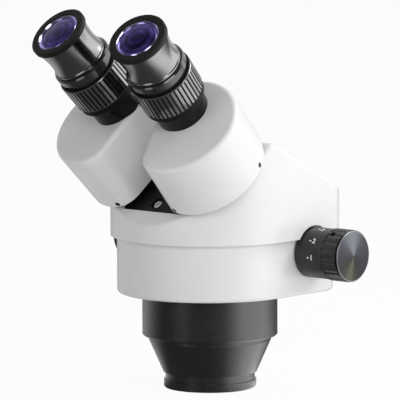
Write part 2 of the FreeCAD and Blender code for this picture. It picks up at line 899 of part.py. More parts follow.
def retaining_ring(side):
    # A ring on the journal with a toothed arm; the two arms mesh on the middle plane.
    pitch_radius = sector_pitch_radius()
    step = math.degrees(math.pi * tooth_module / pitch_radius)
    phase = 0.0 if side == "right" else 0.5
    high = -carrier_boss_depth - open_gap
    low = high - sector_width
    root_radius = pitch_radius - tooth_module * dedendum_share
    ring = rod(retainer_radius, low, high)
    spread = math.radians(step * (sector_teeth + 1) / 2)
    arm = Part.makeCylinder(
        root_radius, sector_width, Vector(0, 0, low), Vector(0, 0, 1), math.degrees(2 * spread)
    )
    arm.rotate(Vector(0, 0, 0), Vector(0, 0, 1), 180 - math.degrees(spread))
    body = ring.fuse(arm)
    first = -(sector_teeth - 1) / 2
    for index in range(sector_teeth):
        body = body.fuse(sector_tooth(180 + (first + index + phase) * step, pitch_radius))
    body = body.cut(rod(journal_radius + seat_gap, low - 1, high + 1))
    body = placed(body, box_frame)
    return body if side == "right" else mirrored(body)


def tube_solid(shape):
    # From the eyepiece's own frame, with z = 0 on the box face, into the whole head's frame.
    moved = shape.copy()
    moved.translate(tube_place)
    return placed(moved, box_frame)


def eyepiece_tube():
    flange_low = -box_wall - tube_flange_thickness
    tube = turned(
        [
            (tube_bore_radius, flange_low),
            (tube_flange_radius, flange_low),
            (tube_flange_radius, -box_wall),
            (tube_radius, -box_wall),
            (tube_radius, snap_height),
            (snap_radius, snap_height),
            (snap_radius, snap_height + snap_thickness),
            (tube_radius, snap_height + snap_thickness),
            (tube_radius, tube_top),
            (tube_bore_radius, tube_top),
        ]
    )
    inside = box_plan(box_wall + seat_gap, 0).extrude(Vector(0, 0, box_depth - box_wall))
    above = rod(2 * box_radius, box_depth - box_wall, box_depth + tube_top)
    room = placed(inside.fuse(above), box_frame)
    return tube_solid(tube).common(room)


def dioptre_ring():
    lip_top = snap_height - open_gap
    bore = dioptre_radius - dioptre_wall
    outside = turned(
        [
            (tube_radius + running_gap, dioptre_start),
            (dioptre_radius - 1.2, dioptre_start),
            (dioptre_radius - 0.5, dioptre_start + 1.2),
            (dioptre_radius - 0.5, dioptre_rib_start - 0.8),
            (dioptre_radius, dioptre_rib_start),
            (dioptre_radius, dioptre_rib_end),
            (dioptre_radius - 0.6, dioptre_end),
            (bore, dioptre_end),
            (bore, lip_top),
            (tube_radius + running_gap, lip_top),
        ]
    )
    step = 360.0 / dioptre_ribs
    half = math.pi * dioptre_radius / dioptre_ribs * 0.42
    grooves = []
    for index in range(dioptre_ribs):
        groove = block(
            dioptre_radius - dioptre_rib_depth, dioptre_radius + 1, -half, half,
            dioptre_rib_start, dioptre_rib_end,
        )
        groove.rotate(Vector(0, 0, 0), Vector(0, 0, 1), index * step)
        grooves.append(groove)
    return tube_solid(outside.cut(Part.makeCompound(grooves)))


def eyepiece_holder(side):
    ledge = holder_start - holder_ledge_thickness
    skirt = dioptre_radius - dioptre_wall - open_gap
    body = turned(
        [
            (tube_radius + running_gap, holder_skirt_start),
            (skirt, holder_skirt_start),
            (skirt, holder_start),
            (holder_radius - 0.3, holder_start),
            (holder_radius, holder_start + 0.3),
            (holder_radius, holder_end - 0.7),
            (holder_radius - 0.7, holder_end),
            (eyepiece_radius + running_gap, holder_end),
            (eyepiece_radius + running_gap, holder_start),
            (eyepiece_barrel_radius + running_gap, holder_start),
            (eyepiece_barrel_radius + running_gap, ledge),
            (tube_radius + running_gap, ledge),
        ]
    )
    body = body.cut(lock_cylinder(side, screw_radius + seat_gap, 0, holder_radius + 1))
    body = tube_solid(body)
    return body if side == "right" else mirrored(body)


def lock_cylinder(side, radius, inset, end):
    start = eyepiece_radius + running_gap + inset
    pin = Part.makeCylinder(radius, end - start, Vector(start, 0, lock_screw_height), Vector(1, 0, 0))
    angle = lock_screw_angle[side]
    pin.rotate(Vector(0, 0, 0), Vector(0, 0, 1), angle)
    return pin


def lock_screw(side):
    pin = lock_cylinder(side, screw_radius, open_gap / 3, holder_radius - 0.2)
    pin = tube_solid(pin)
    return pin if side == "right" else mirrored(pin)


def eyepiece_barrel():
    # The body above the holder has a small lip, a waist and a crown under the eye ring.
    shoulder = holder_start + seat_gap
    inside = eyepiece_barrel_radius - eyepiece_wall
    lens_seat = eye_lens_start()
    lip_end = eyepiece_lip_start + 1.2
    below = Part.makePolygon(
        [
            Vector(eyepiece_lip_radius - 0.5, 0, lip_end + 0.4),
            Vector(eyepiece_lip_radius, 0, lip_end),
            Vector(eyepiece_lip_radius, 0, eyepiece_lip_start + 0.3),
            Vector(eyepiece_lip_radius - 0.3, 0, eyepiece_lip_start),
            Vector(eyepiece_radius, 0, eyepiece_lip_start),
            Vector(eyepiece_radius, 0, shoulder),
            Vector(eyepiece_barrel_radius, 0, shoulder),
            Vector(eyepiece_barrel_radius, 0, eyepiece_barrel_start),
            Vector(inside, 0, eyepiece_barrel_start),
            Vector(inside, 0, lens_seat),
            Vector(eye_lens_radius, 0, lens_seat),
            Vector(eye_lens_radius, 0, eye_ring_start),
            Vector(eyepiece_crown_radius, 0, eye_ring_start),
        ]
    )
    waist = Part.BSplineCurve()
    waist.interpolate(
        [
            Vector(eyepiece_crown_radius, 0, eye_ring_start),
            Vector((eyepiece_crown_radius + eyepiece_waist_radius) / 2, 0, eye_ring_start - 3.5),
            Vector(eyepiece_waist_radius, 0, eyepiece_waist_height),
            Vector(eyepiece_lip_radius - 0.5, 0, lip_end + 0.4),
        ]
    )
    wire = Part.Wire(Part.__sortEdges__(below.Edges + [waist.toShape()]))
    return tube_solid(Part.Face(wire).revolve(Vector(0, 0, 0), Vector(0, 0, 1), 360))


def eye_lens_start():
    return eye_ring_end + eye_lens_rise - eye_lens_thickness


def eye_ring():
    # The lip at the top keeps the lens in.
    lip_low = eye_lens_start() + eye_lens_thickness - eye_lens_dome + 0.1
    body = turned(
        [
            (eye_lens_radius, eye_ring_start),
            (eye_ring_radius - 0.4, eye_ring_start),
            (eye_ring_radius, eye_ring_start + 0.4),
            (eye_ring_radius, eye_ring_end - 0.6),
            (eye_ring_radius - 0.6, eye_ring_end),
            (eye_ring_bore_radius + 0.5, eye_ring_end),
            (eye_ring_bore_radius, eye_ring_end - 0.5),
            (eye_ring_bore_radius, lip_low),
            (eye_lens_radius, lip_low),
        ]
    )
    return tube_solid(body)


def domed_lens(radius, start, thickness, dome):
    # A flat-backed lens whose upper face is part of a ball.
    ball_radius = (radius**2 + dome**2) / (2 * dome)
    edge_top = start + thickness - dome
    ball = Part.makeSphere(ball_radius, Vector(0, 0, start + thickness - ball_radius))
    return rod(radius, start, start + thickness + 1).common(
        ball.fuse(rod(radius, start, edge_top))
    ).removeSplitter()


def eye_lens():
    radius = eye_lens_radius - seat_gap
    return tube_solid(domed_lens(radius, eye_lens_start(), eye_lens_thickness, eye_lens_dome))


def field_lens():
    radius = eyepiece_barrel_radius - eyepiece_wall - seat_gap
    start = eyepiece_barrel_start + 1
    return tube_solid(rod(radius, start, start + field_lens_thickness))


def along_offset(shape):
    # From a frame with X along the line from the swing axis to the tube, into the head's frame.
    turned_shape = shape.copy()
    turned_shape.rotate(Vector(0, 0, 0), Vector(0, 0, 1), tube_angle)
    return placed(turned_shape, box_frame)


def erecting_prism():
    half = tube_offset / 2
    low = turntable_recess + turntable_thickness + prism_lift
    corners = [
        Vector(-half, -fold_prism_half, low),
        Vector(half, -fold_prism_half, low),
        Vector(half + tube_offset, -fold_prism_half, low + tube_offset),
        Vector(half, -fold_prism_half, low + tube_offset),
    ]
    face = Part.Face(Part.makePolygon(corners + corners[:1]))
    return along_offset(face.extrude(Vector(0, 2 * fold_prism_half, 0)))


def prism_holder():
    base = turntable_recess + turntable_thickness
    low = base + prism_lift
    half = tube_offset / 2
    across = fold_prism_half + bracket_wall
    body = block(-half - 3, half + tube_offset, -across, across, base, low)
    body = body.cut(rod(light_hole_radius, base - 1, low + 1))
    for sign in (1, -1):
        low_y = min(sign * fold_prism_half, sign * across)
        wall = block(-half, half + tube_offset, low_y, low_y + bracket_wall, low, low + tube_offset)
        body = body.fuse(wall)
    return along_offset(body)


def fold_prism():
    # A half pentagon in side view: light comes in below and leaves along the line of view.
    half = fold_prism_half
    low = fold_z - half
    exit_way = up_slope * half
    front = Vector(0, 0, fold_z) + Vector(0, view_axis.y, view_axis.z) * half
    corners = [
        Vector(0, -half, low),
        Vector(0, half, low),
        Vector(0, half, low + fold_prism_height * 0.62),
        front + exit_way,
        front - exit_way,
    ]
    face = Part.Face(Part.makePolygon(corners + corners[:1]))
    face.translate(Vector(fold_x - half, 0, 0))
    return face.extrude(Vector(2 * half, 0, 0))


def fold_prism_bracket():
    top = frame_top_start + frame_top_thickness
    high = fold_z + fold_prism_height * 0.7
    out = fold_prism_half + bracket_wall
    body = block(fold_x - out, fold_x + out, frame_top_front, bracket_back, top, top + bracket_wall)
    for sign in (1, -1):
        near = fold_x + sign * fold_prism_half
        far = fold_x + sign * out
        low_x, high_x = min(near, far), max(near, far)
        cheek = block(low_x, high_x, -fold_prism_half, frame_top_front - open_gap, fold_z - 5, high)
        gusset = block(low_x, high_x, frame_top_front - open_gap, bracket_back, top, high)
        body = body.fuse(cheek).fuse(gusset)
    return body


def cam_point(turn, side_step):
    # A point beside the middle line of the cam's slot, for a turn of the shaft in radians.
    radius = cam_rest_radius + cam_lead * turn
    angle = math.pi / 2 - turn
    outward = Vector(0, math.cos(angle), math.sin(angle))
    along = Vector(0, math.sin(angle), -math.cos(angle)) * radius + outward * cam_lead
    normal = along.normalize().cross(Vector(1, 0, 0))
    return outward * radius + normal * side_step


def cam_slot():
    # An even spiral slot that an end mill would cut, round at both ends.
    half = pin_radius + 0.15
    limit = math.radians(cam_half_turn + cam_slot_run_on)
    steps = 36
    turns = [-limit + 2 * limit * index / steps for index in range(steps + 1)]
    left = Part.BSplineCurve()
    left.interpolate([cam_point(turn, half) for turn in turns])
    right = Part.BSplineCurve()
    right.interpolate([cam_point(turn, -half) for turn in turns])
    thickness = Vector(cam_thickness + 2, 0, 0)
    edges = [left.toShape(), right.toShape()]
    for turn in (-limit, limit):
        edges.append(Part.makeLine(cam_point(turn, half), cam_point(turn, -half)))
    face = Part.Face(Part.Wire(Part.__sortEdges__(edges)))
    slot = face.extrude(thickness)
    for turn in (-limit, limit):
        end = Part.makeCylinder(half, thickness.x, cam_point(turn, 0), Vector(1, 0, 0))
        slot = slot.fuse(end)
    slot.translate(Vector(-thickness.x / 2, shaft_y, shaft_z))
    return slot


def zoom_cam():
    half = cam_thickness / 2
    body = side_cylinder(cam_radius, -half, half)
    slot = cam_slot()
    second = slot.copy()
    second.rotate(Vector(0, shaft_y, shaft_z), Vector(1, 0, 0), 180)
    body = body.cut(slot).cut(second)
    return body.cut(side_cylinder(shaft_radius + seat_gap, -half - 1, half + 1))


def zoom_shaft():
    return side_cylinder(shaft_radius, -shaft_length / 2, shaft_length / 2)


def zoom_knob():
    grip_start = knob_start + knob_sleeve_length
    body = turned(
        [
            (0, knob_start),
            (knob_sleeve_radius - 0.4, knob_start),
            (knob_sleeve_radius, knob_start + 0.6),
            (knob_sleeve_radius, grip_start),
            (knob_grip_radius, grip_start + 0.4),
            (knob_grip_radius, knob_end - 0.4),
            (knob_grip_radius - 0.4, knob_end),
            (0, knob_end),
        ]
    )
    recess = pipe(knob_recess_radius, knob_hub_radius, knob_start - 1, knob_start + knob_recess_depth)
    body = body.cut(recess)
    body = body.cut(rod(shaft_radius + seat_gap, knob_start - 1, shaft_length / 2 + open_gap))
    flutes = []
    centre = knob_grip_radius + knob_flute_radius - knob_flute_depth
    for index in range(knob_flutes):
        flute = rod(knob_flute_radius, grip_start + 2, knob_end + 1, centre, 0)
        flute.rotate(Vector(0, 0, 0), Vector(0, 0, 1), 360.0 / knob_flutes * index)
        flutes.append(flute)
    body = body.cut(Part.makeCompound(flutes))
    body = body.cut(knob_screw_hole(screw_radius + seat_gap, knob_grip_radius + 1))
    return placed(body, knob_frame)


def knob_screw_hole(radius, end):
    start = shaft_radius + seat_gap
    place = knob_start + knob_screw_place
    hole = Part.makeCylinder(radius, end - start, Vector(start, 0, place), Vector(1, 0, 0))
    hole.rotate(Vector(0, 0, 0), Vector(0, 0, 1), knob_screw_angle)
    return hole


def knob_set_screws():
    screw = placed(knob_screw_hole(screw_radius, shaft_radius + knob_screw_length), knob_frame)
    return [screw, mirrored(screw)]


def knob_cap():
    # A turned cap with a bevelled rim and a very flat cone.
    face = knob_end + knob_cap_length
    rim = knob_grip_radius - 0.2
    body = turned(
        [
            (0, knob_end),
            (rim, knob_end),
            (rim, face - knob_cap_cone - knob_cap_bevel),
            (rim - knob_cap_bevel, face - knob_cap_cone),
            (0, face),
        ]
    )
    return placed(body, knob_frame)


def lens_carrier(level, drop, web_side):
    # Made upright beside the channel: lens ring, web, sleeve and fork, then tilted with it.
    # level is the height of the cam pin at rest, and drop how far the lens ring hangs below it.
    pin_level = channel_height(level)
    lens_level = pin_level - drop
    half_ring = ring_height / 2
    ring = rod(carrier_ring_radius, lens_level - half_ring, lens_level + half_ring)
    sleeve_low = sleeve_start(level)
    sleeve_high = sleeve_low + sleeve_length
    web_y = carrier_ring_radius + 0.4
    web_in, web_out = sorted((web_side * 0.5, web_side * (0.5 + web_width)))
    web = block(web_in, web_out, web_y, web_y + web_thickness, lens_level - half_ring, sleeve_high)
    foot = block(
        web_in, web_out, 0, web_y + web_thickness, lens_level - half_ring, lens_level + half_ring
    )
    root = block(web_in, web_out, web_y, main_rod_y, sleeve_low, sleeve_high)
    sleeve = rod(sleeve_radius, sleeve_low, sleeve_high, 0, main_rod_y)
    mid = (sleeve_low + sleeve_high) / 2
    fork = fork_arm(mid)
    body = ring.fuse(web).fuse(foot).fuse(root).fuse(sleeve).fuse(fork)
    body = body.cut(rod(zoom_lens_radius + seat_gap, lens_level - 20, lens_level + 20))
    body = body.cut(rod(rod_radius + running_gap, -long_reach, long_reach, 0, main_rod_y))
    body = placed(body, channel_frame)
    body = body.fuse(pin_arm(level))
    return body.cut(guide_rod(0, main_rod_y, running_gap))


def sleeve_start(level):
    # The upper carrier's sleeve stands above the shaft and the lower one's below it.
    if level > shaft_z:
        return channel_height(shaft_z + upper_sleeve_rise)
    return channel_height(shaft_z - lower_sleeve_drop) - sleeve_length


def fork_arm(mid):
    # A flat arm to the second rod, with an open slot so that the carrier can't turn.
    half = arm_size / 2
    reach = Vector(second_rod_reach, second_rod_y - main_rod_y, 0)
    angle = math.degrees(math.atan2(reach.y, reach.x))
    arm = block(0, reach.Length + rod_radius + 1.5, -half - 0.8, half + 0.8, -half, half)
    slot = rod_radius + running_gap
    arm = arm.cut(block(reach.Length, reach.Length + rod_radius + 5, -slot, slot, -half, half))
    arm = arm.cut(rod(slot, -half, half, reach.Length, 0))
    arm.rotate(Vector(0, 0, 0), Vector(0, 0, 1), angle)
    arm.translate(Vector(0, main_rod_y, mid))
    return arm


def pin_arm(level):
    # The arm from the sleeve to the cam, with the pin that runs in the cam's slot.
    half = arm_size / 2
    boss_x = cam_thickness / 2 + boss_gap
    x_here = channel_base_x + level * math.tan(channel_tilt)
    start = Vector(x_here - 1.0, main_rod_y + 1.0, level)
    end = Vector(boss_x + half, shaft_y, level)
    run = end - start
    arm = block(0, run.Length, -half, half, -half, half)
    arm.rotate(Vector(0, 0, 0), Vector(0, 0, 1), math.degrees(math.atan2(run.y, run.x)))
    arm.translate(start)
    boss = side_cylinder(half, boss_x, boss_x + arm_size + 1, shaft_y, level)
    pin = side_cylinder(pin_radius, boss_gap, boss_x + 1, shaft_y, level)
    return arm.fuse(boss).fuse(pin)


def zoom_lens(level, drop):
    lens_level = channel_height(level) - drop
    half_ring = ring_height / 2 - 0.5
    return placed(rod(zoom_lens_radius, lens_level - half_ring, lens_level + half_ring), channel_frame)


save("lower_housing", lower_housing())
save("upper_cover", upper_cover())
save("objective_barrel", objective_barrel())
save("thread_ring", thread_ring())
save("objective_plate", objective_plate())
save_pair("objective_lens", objective_lens())
save("zoom_frame", zoom_frame())
save("guide_rods", *guide_rods())
save("shaft_bushes", shaft_bush(), mirrored(shaft_bush()))
save("binocular_carrier", binocular_carrier())
save("carrier_screws", *carrier_screws())
save_pair("fold_prism", fold_prism())
save("fold_prism_brackets", fold_prism_bracket(), mirrored(fold_prism_bracket()))
save("housing_screws", *housing_screws())
save("barrel_screws", *barrel_screws())

save("zoom_shaft", zoom_shaft())
save("zoom_cam", zoom_cam())
save_pair("zoom_knob", zoom_knob())
save_pair("knob_cap", knob_cap())
save("knob_set_screws", *knob_set_screws())

upper_pin = shaft_z + cam_rest_radius
lower_pin = shaft_z - cam_rest_radius
save_pair("upper_carrier", lens_carrier(upper_pin, upper_lens_drop, 1))
save_pair("upper_zoom_lens", zoom_lens(upper_pin, upper_lens_drop))
save_pair("lower_carrier", lens_carrier(lower_pin, lower_lens_drop, -1))
save_pair("lower_zoom_lens", zoom_lens(lower_pin, lower_lens_drop))

save_pair("prism_casing", prism_casing())
save_pair("turntable", turntable())
save_pair("erecting_prism", erecting_prism())
save_pair("prism_holder", prism_holder())
save_pair("eyepiece_tube", eyepiece_tube())
save_pair("dioptre_ring", dioptre_ring())
save_pair("eyepiece_barrel", eyepiece_barrel())
save_pair("eye_ring", eye_ring())
save_pair("eye_lens", eye_lens())
save_pair("field_lens", field_lens())
for side in ("right", "left"):
    save(side + "_retaining_ring", retaining_ring(side))
    save(side + "_eyepiece_holder", eyepiece_holder(side))
    save(side + "_lock_screw", lock_screw(side))
screws = casing_screws()
save("right_casing_screws", *screws)
save("left_casing_screws", *[mirrored(screw) for screw in screws])
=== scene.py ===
import math

import bmesh
import bpy
from mathutils import Matrix, Vector


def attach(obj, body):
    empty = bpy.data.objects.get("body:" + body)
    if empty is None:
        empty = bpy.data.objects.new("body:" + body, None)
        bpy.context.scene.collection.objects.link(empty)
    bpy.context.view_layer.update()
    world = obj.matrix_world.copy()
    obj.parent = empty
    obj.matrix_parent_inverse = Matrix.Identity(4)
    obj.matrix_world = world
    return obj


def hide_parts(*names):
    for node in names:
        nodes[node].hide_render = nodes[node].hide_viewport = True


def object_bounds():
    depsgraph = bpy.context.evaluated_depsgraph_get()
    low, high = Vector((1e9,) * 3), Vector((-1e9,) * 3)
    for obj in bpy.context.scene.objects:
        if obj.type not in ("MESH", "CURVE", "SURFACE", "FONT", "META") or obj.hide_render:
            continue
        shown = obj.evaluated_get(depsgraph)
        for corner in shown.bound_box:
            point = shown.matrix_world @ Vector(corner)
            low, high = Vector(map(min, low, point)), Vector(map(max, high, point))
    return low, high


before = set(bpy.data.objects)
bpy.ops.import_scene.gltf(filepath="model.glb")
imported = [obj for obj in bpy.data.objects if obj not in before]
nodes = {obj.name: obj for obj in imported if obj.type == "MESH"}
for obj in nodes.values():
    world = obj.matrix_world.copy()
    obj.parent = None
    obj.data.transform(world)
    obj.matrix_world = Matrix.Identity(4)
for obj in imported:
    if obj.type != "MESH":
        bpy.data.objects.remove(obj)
cadLow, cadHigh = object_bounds()
scene = bpy.context.scene
print("frame loaded with", len(nodes), "nodes")

# The head's own directions, in metres and degrees, the same as in the part's source
headSizes = {
    "viewSlope": 45.0,      # slope of the sloped front
    "turnIn": 5.5,          # how far each line of view leans to the middle
    "foldPoint": (0.0224, 0.0, 0.043),
    "foldToBox": 0.0419708,
    "boxDepth": 0.038,
    "boxMiddle": (-0.001, 0.001, 0.0),
    "tubeInward": 0.0065,
    "tubeUpward": 0.0107,
    "shaftPlace": (0.0, 0.0254, 0.024),
}


def axesMatrix(x, y, z, origin):
    placed = Matrix.Identity(4)
    for row in range(3):
        placed[row] = (x[row], y[row], z[row], origin[row])
    return placed


def headFrames():
    slope = math.radians(headSizes["viewSlope"])
    turn = math.radians(headSizes["turnIn"])
    view = Vector((math.sin(turn), -math.cos(turn) * math.sin(slope), math.cos(turn) * math.cos(slope)))
    up = Vector((0.0, math.cos(slope), math.sin(slope)))
    right = up.cross(view)
    rim = Vector(headSizes["foldPoint"]) + view * headSizes["foldToBox"]
    box = axesMatrix(right, up, view, rim)
    tubeOffset = (-headSizes["tubeInward"], headSizes["tubeUpward"], headSizes["boxDepth"])
    return box, box @ Matrix.Translation(tubeOffset), view


boxFrame, tubeFrame, viewAxis = headFrames()
sideFlip = {"right": Matrix.Identity(4), "left": Matrix.Scale(-1.0, 4, (1.0, 0.0, 0.0))}


def tubeLine(side):
    # A point on the axis of the eyepiece tube and the axis' direction
    return sideFlip[side] @ tubeFrame.translation, sideFlip[side].to_3x3() @ viewAxis


# Finishes. grain is the size of the fine bump in metres, lines the spacing of turning marks.
surfaceScale = {"mottleSize": 0.012, "roughSize": 0.006}
finishes = {
    "whitePaint": {
        "base": (0.79, 0.79, 0.785), "rough": 0.33, "coat": 0.2, "coatRough": 0.12,
        "grain": 0.0009, "grainDepth": 0.00001, "mottle": 0.012, "roughSpread": 0.05,
    },
    "blackPaint": {
        "base": (0.008, 0.008, 0.0085), "rough": 0.42, "shine": 0.3, "grain": 0.0007,
        "grainDepth": 0.000012, "mottle": 0.2, "roughSpread": 0.06,
    },
    "barrelBlack": {
        "base": (0.009, 0.009, 0.0092), "rough": 0.3, "shine": 0.95, "grain": 0.0006,
        "grainDepth": 0.000003, "mottle": 0.12, "roughSpread": 0.04,
        "lines": 0.0005, "lineAxis": (0, 0, 1), "lineDepth": 0.0000015,
    },
    "ringBlack": {
        "base": (0.010, 0.010, 0.011), "rough": 0.28, "shine": 0.95, "mottle": 0.12,
        "roughSpread": 0.05, "grain": 0.0005, "grainDepth": 0.000003,
        "lines": 0.0004, "lineAxis": (0, 0, 1), "lineDepth": 0.000002,
    },
    "eyepieceBlack": {
        "base": (0.23, 0.228, 0.226), "rough": 0.17, "metal": 1.0, "mottle": 0.05,
        "roughSpread": 0.03, "grain": 0.0006, "grainDepth": 0.0000015,
    },
    "tubeBlack": {
        "base": (0.004, 0.004, 0.0045), "rough": 0.16, "shine": 0.25, "mottle": 0.1,
        "roughSpread": 0.04, "grain": 0.0006, "grainDepth": 0.000002,
    },
    "holderBlack": {
        "base": (0.09, 0.09, 0.092), "rough": 0.13, "metal": 0.8, "mottle": 0.06,
        "roughSpread": 0.03, "grain": 0.0006, "grainDepth": 0.0000015,
    },
    "softBlack": {
        "base": (0.008, 0.0075, 0.007), "rough": 0.62, "shine": 0.25, "mottle": 0.15,
        "roughSpread": 0.06, "grain": 0.0003, "grainDepth": 0.000006,
    },
    "knobGrey": {
        "base": (0.016, 0.0165, 0.016), "rough": 0.4, "shine": 0.45, "mottle": 0.12,
        "roughSpread": 0.06, "grain": 0.00045, "grainDepth": 0.000008,
    },
    "brightSteel": {
        "base": (0.88, 0.88, 0.86), "rough": 0.5, "metal": 0.85, "mottle": 0.05,
        "roughSpread": 0.08, "grain": 0.0006, "grainDepth": 0.000004,
    },
    "darkSteel": {
        "base": (0.05, 0.05, 0.052), "rough": 0.35, "metal": 0.8, "mottle": 0.15,
        "roughSpread": 0.08, "grain": 0.0003, "grainDepth": 0.000006,
    },
    # near-black colour of the knob's hole discs: painted shade
    "deepHole": {
        "base": (0.004, 0.004, 0.004), "rough": 0.7, "shine": 0.1, "mottle": 0.1,
        "roughSpread": 0.05, "grain": 0.0003, "grainDepth": 0.000004,
    },
    "brass": {
        "base": (0.62, 0.44, 0.17), "rough": 0.3, "metal": 1.0, "mottle": 0.08,
        "roughSpread": 0.08, "grain": 0.0006, "grainDepth": 0.000006,
    },
    "carrierMetal": {
        "base": (0.5, 0.5, 0.51), "rough": 0.38, "metal": 1.0, "mottle": 0.05,
        "roughSpread": 0.08, "grain": 0.0006, "grainDepth": 0.00001,
    },
    "lensBevel": {
        "base": (0.66, 0.62, 0.9), "rough": 0.13, "metal": 1.0, "mottle": 0.04,
        "roughSpread": 0.03, "grain": 0.001, "grainDepth": 0.000002,
    },
    "markWhite": {
        "base": (0.78, 0.78, 0.76), "rough": 0.5, "mottle": 0.04, "roughSpread": 0.05,
        "grain": 0.0002, "grainDepth": 0.000004,
    },
}


def startFinish(name):
    finish = bpy.data.materials.new(name)
    finish.use_nodes = True
    return finish, finish.node_tree, finish.node_tree.nodes["Principled BSDF"]


def fillRamp(ramp, stops):
    for index, (share, colour) in enumerate(stops):
        stop = ramp.elements[index] if index < 2 else ramp.elements.new(share)
        stop.position = share
        stop.color = (*colour, 1.0)


def addNoise(tree, vector, size, detail=2.0):
    noise = tree.nodes.new("ShaderNodeTexNoise")
    noise.inputs["Scale"].default_value = 1.0 / size
    noise.inputs["Detail"].default_value = detail
    tree.links.new(vector, noise.inputs["Vector"])
    return noise.outputs["Fac"]


def joinMath(tree, operation, first, second):
    node = tree.nodes.new("ShaderNodeMath")
    node.operation = operation
    tree.links.new(first, node.inputs[0])
    tree.links.new(second, node.inputs[1])
    return node.outputs[0]


def mixColours(tree, share, first, second):
    # Each colour is either a socket or three numbers
    mix = tree.nodes.new("ShaderNodeMix")
    mix.data_type = "RGBA"
    tree.links.new(share, mix.inputs[0])
    for place, colour in ((6, first), (7, second)):
        if isinstance(colour, tuple):
            mix.inputs[place].default_value = (*colour, 1.0)
        else:
            tree.links.new(colour, mix.inputs[place])
    return mix.outputs[2]


def addRange(tree, value, low, high, fromLow=0.3, fromHigh=0.7):
    ranged = tree.nodes.new("ShaderNodeMapRange")
    ranged.inputs["From Min"].default_value = fromLow
    ranged.inputs["From Max"].default_value = fromHigh
    ranged.inputs["To Min"].default_value = low
    ranged.inputs["To Max"].default_value = high
    tree.links.new(value, ranged.inputs["Value"])
    return ranged.outputs["Result"]


def addScale(tree, colour, share):
    # colour is either a socket or three numbers
    scaled = tree.nodes.new("ShaderNodeVectorMath")
    scaled.operation = "SCALE"
    if isinstance(colour, tuple):
        scaled.inputs[0].default_value = colour
    else:
        tree.links.new(colour, scaled.inputs[0])
    tree.links.new(share, scaled.inputs["Scale"])
    return scaled.outputs["Vector"]


def addBump(tree, height, depth, normal=None):
    bump = tree.nodes.new("ShaderNodeBump")
    bump.inputs["Strength"].default_value = 1.0
    bump.inputs["Distance"].default_value = depth
    tree.links.new(height, bump.inputs["Height"])
    if normal is not None:
        tree.links.new(normal, bump.inputs["Normal"])
    return bump.outputs["Normal"]


def surfaceFinish(name, settings):
    finish, tree, shader = startFinish(name)
    shader.inputs["Metallic"].default_value = settings.get("metal", 0.0)
    shader.inputs["Coat Weight"].default_value = settings.get("coat", 0.0)
    shader.inputs["Coat Roughness"].default_value = settings.get("coatRough", 0.1)
    shader.inputs["Specular IOR Level"].default_value = settings.get("shine", 0.5)
    where = tree.nodes.new("ShaderNodeTexCoord").outputs["Object"]
    # slow colour change over the surface
    mottle = addRange(
        tree, addNoise(tree, where, surfaceScale["mottleSize"], 3.0),
        1.0 - settings["mottle"], 1.0 + settings["mottle"],
    )
    tree.links.new(addScale(tree, settings["base"], mottle), shader.inputs["Base Color"])
    rough = addRange(
        tree, addNoise(tree, where, surfaceScale["roughSize"], 4.0),
        settings["rough"] - settings["roughSpread"], settings["rough"] + settings["roughSpread"],
    )
    tree.links.new(rough, shader.inputs["Roughness"])
    normal = addBump(tree, addNoise(tree, where, settings["grain"], 2.0), settings["grainDepth"])
    if "lines" in settings:  # fine rings left by the lathe
        along = tree.nodes.new("ShaderNodeVectorMath")
        along.operation = "DOT_PRODUCT"
        tree.links.new(where, along.inputs[0])
        along.inputs[1].default_value = settings["lineAxis"]
        lineWhere = tree.nodes.new("ShaderNodeCombineXYZ")
        tree.links.new(along.outputs["Value"], lineWhere.inputs["Z"])
        lines = addNoise(tree, lineWhere.outputs["Vector"], settings["lines"], 3.0)
        normal = addBump(tree, lines, settings["lineDepth"], normal)
    tree.links.new(normal, shader.inputs["Normal"])
    return finish


def axisDistance(tree, origin, axis):
    # How far a point of the resting head is from a line, in metres
    where = tree.nodes.new("ShaderNodeTexCoord").outputs["Object"]
    offset = tree.nodes.new("ShaderNodeVectorMath")
    offset.operation = "SUBTRACT"
    tree.links.new(where, offset.inputs[0])
    offset.inputs[1].default_value = origin
    across = tree.nodes.new("ShaderNodeVectorMath")
    across.operation = "CROSS_PRODUCT"
    tree.links.new(offset.outputs["Vector"], across.inputs[0])
    across.inputs[1].default_value = axis
    length = tree.nodes.new("ShaderNodeVectorMath")
    length.operation = "LENGTH"
    tree.links.new(across.outputs["Vector"], length.inputs[0])
    return length.outputs["Value"], across.outputs["Vector"]


gripFinish = {
    "grooveRadius": 0.01790, "landRadius": 0.01818,
    # groove colour: near black, a painted shade in the recesses
    "groove": (0.004, 0.004, 0.0042), "land": (0.22, 0.22, 0.22),
    "grooveRough": 0.6, "landRough": 0.12, "landMetal": 0.95, "shine": 0.2,
}


def ribbedGripFinish(side, settings):
    # Polished lands between matt grooves painted near black, a painted shade in the recesses, told apart by
    # their distance from the tube's axis
    finish, tree, shader = startFinish(side + "Grip")
    distance = axisDistance(tree, *tubeLine(side))[0]
    share = addRange(tree, distance, 0.0, 1.0, settings["grooveRadius"], settings["landRadius"])
    colour = mixColours(tree, share, settings["groove"], settings["land"])
    tree.links.new(colour, shader.inputs["Base Color"])
    tree.links.new(addRange(tree, share, 0.0, settings["landMetal"], 0.0, 1.0), shader.inputs["Metallic"])
    rough = addRange(tree, share, settings["grooveRough"], settings["landRough"], 0.0, 1.0)
    tree.links.new(rough, shader.inputs["Roughness"])
    shader.inputs["Specular IOR Level"].default_value = settings["shine"]
    return finish


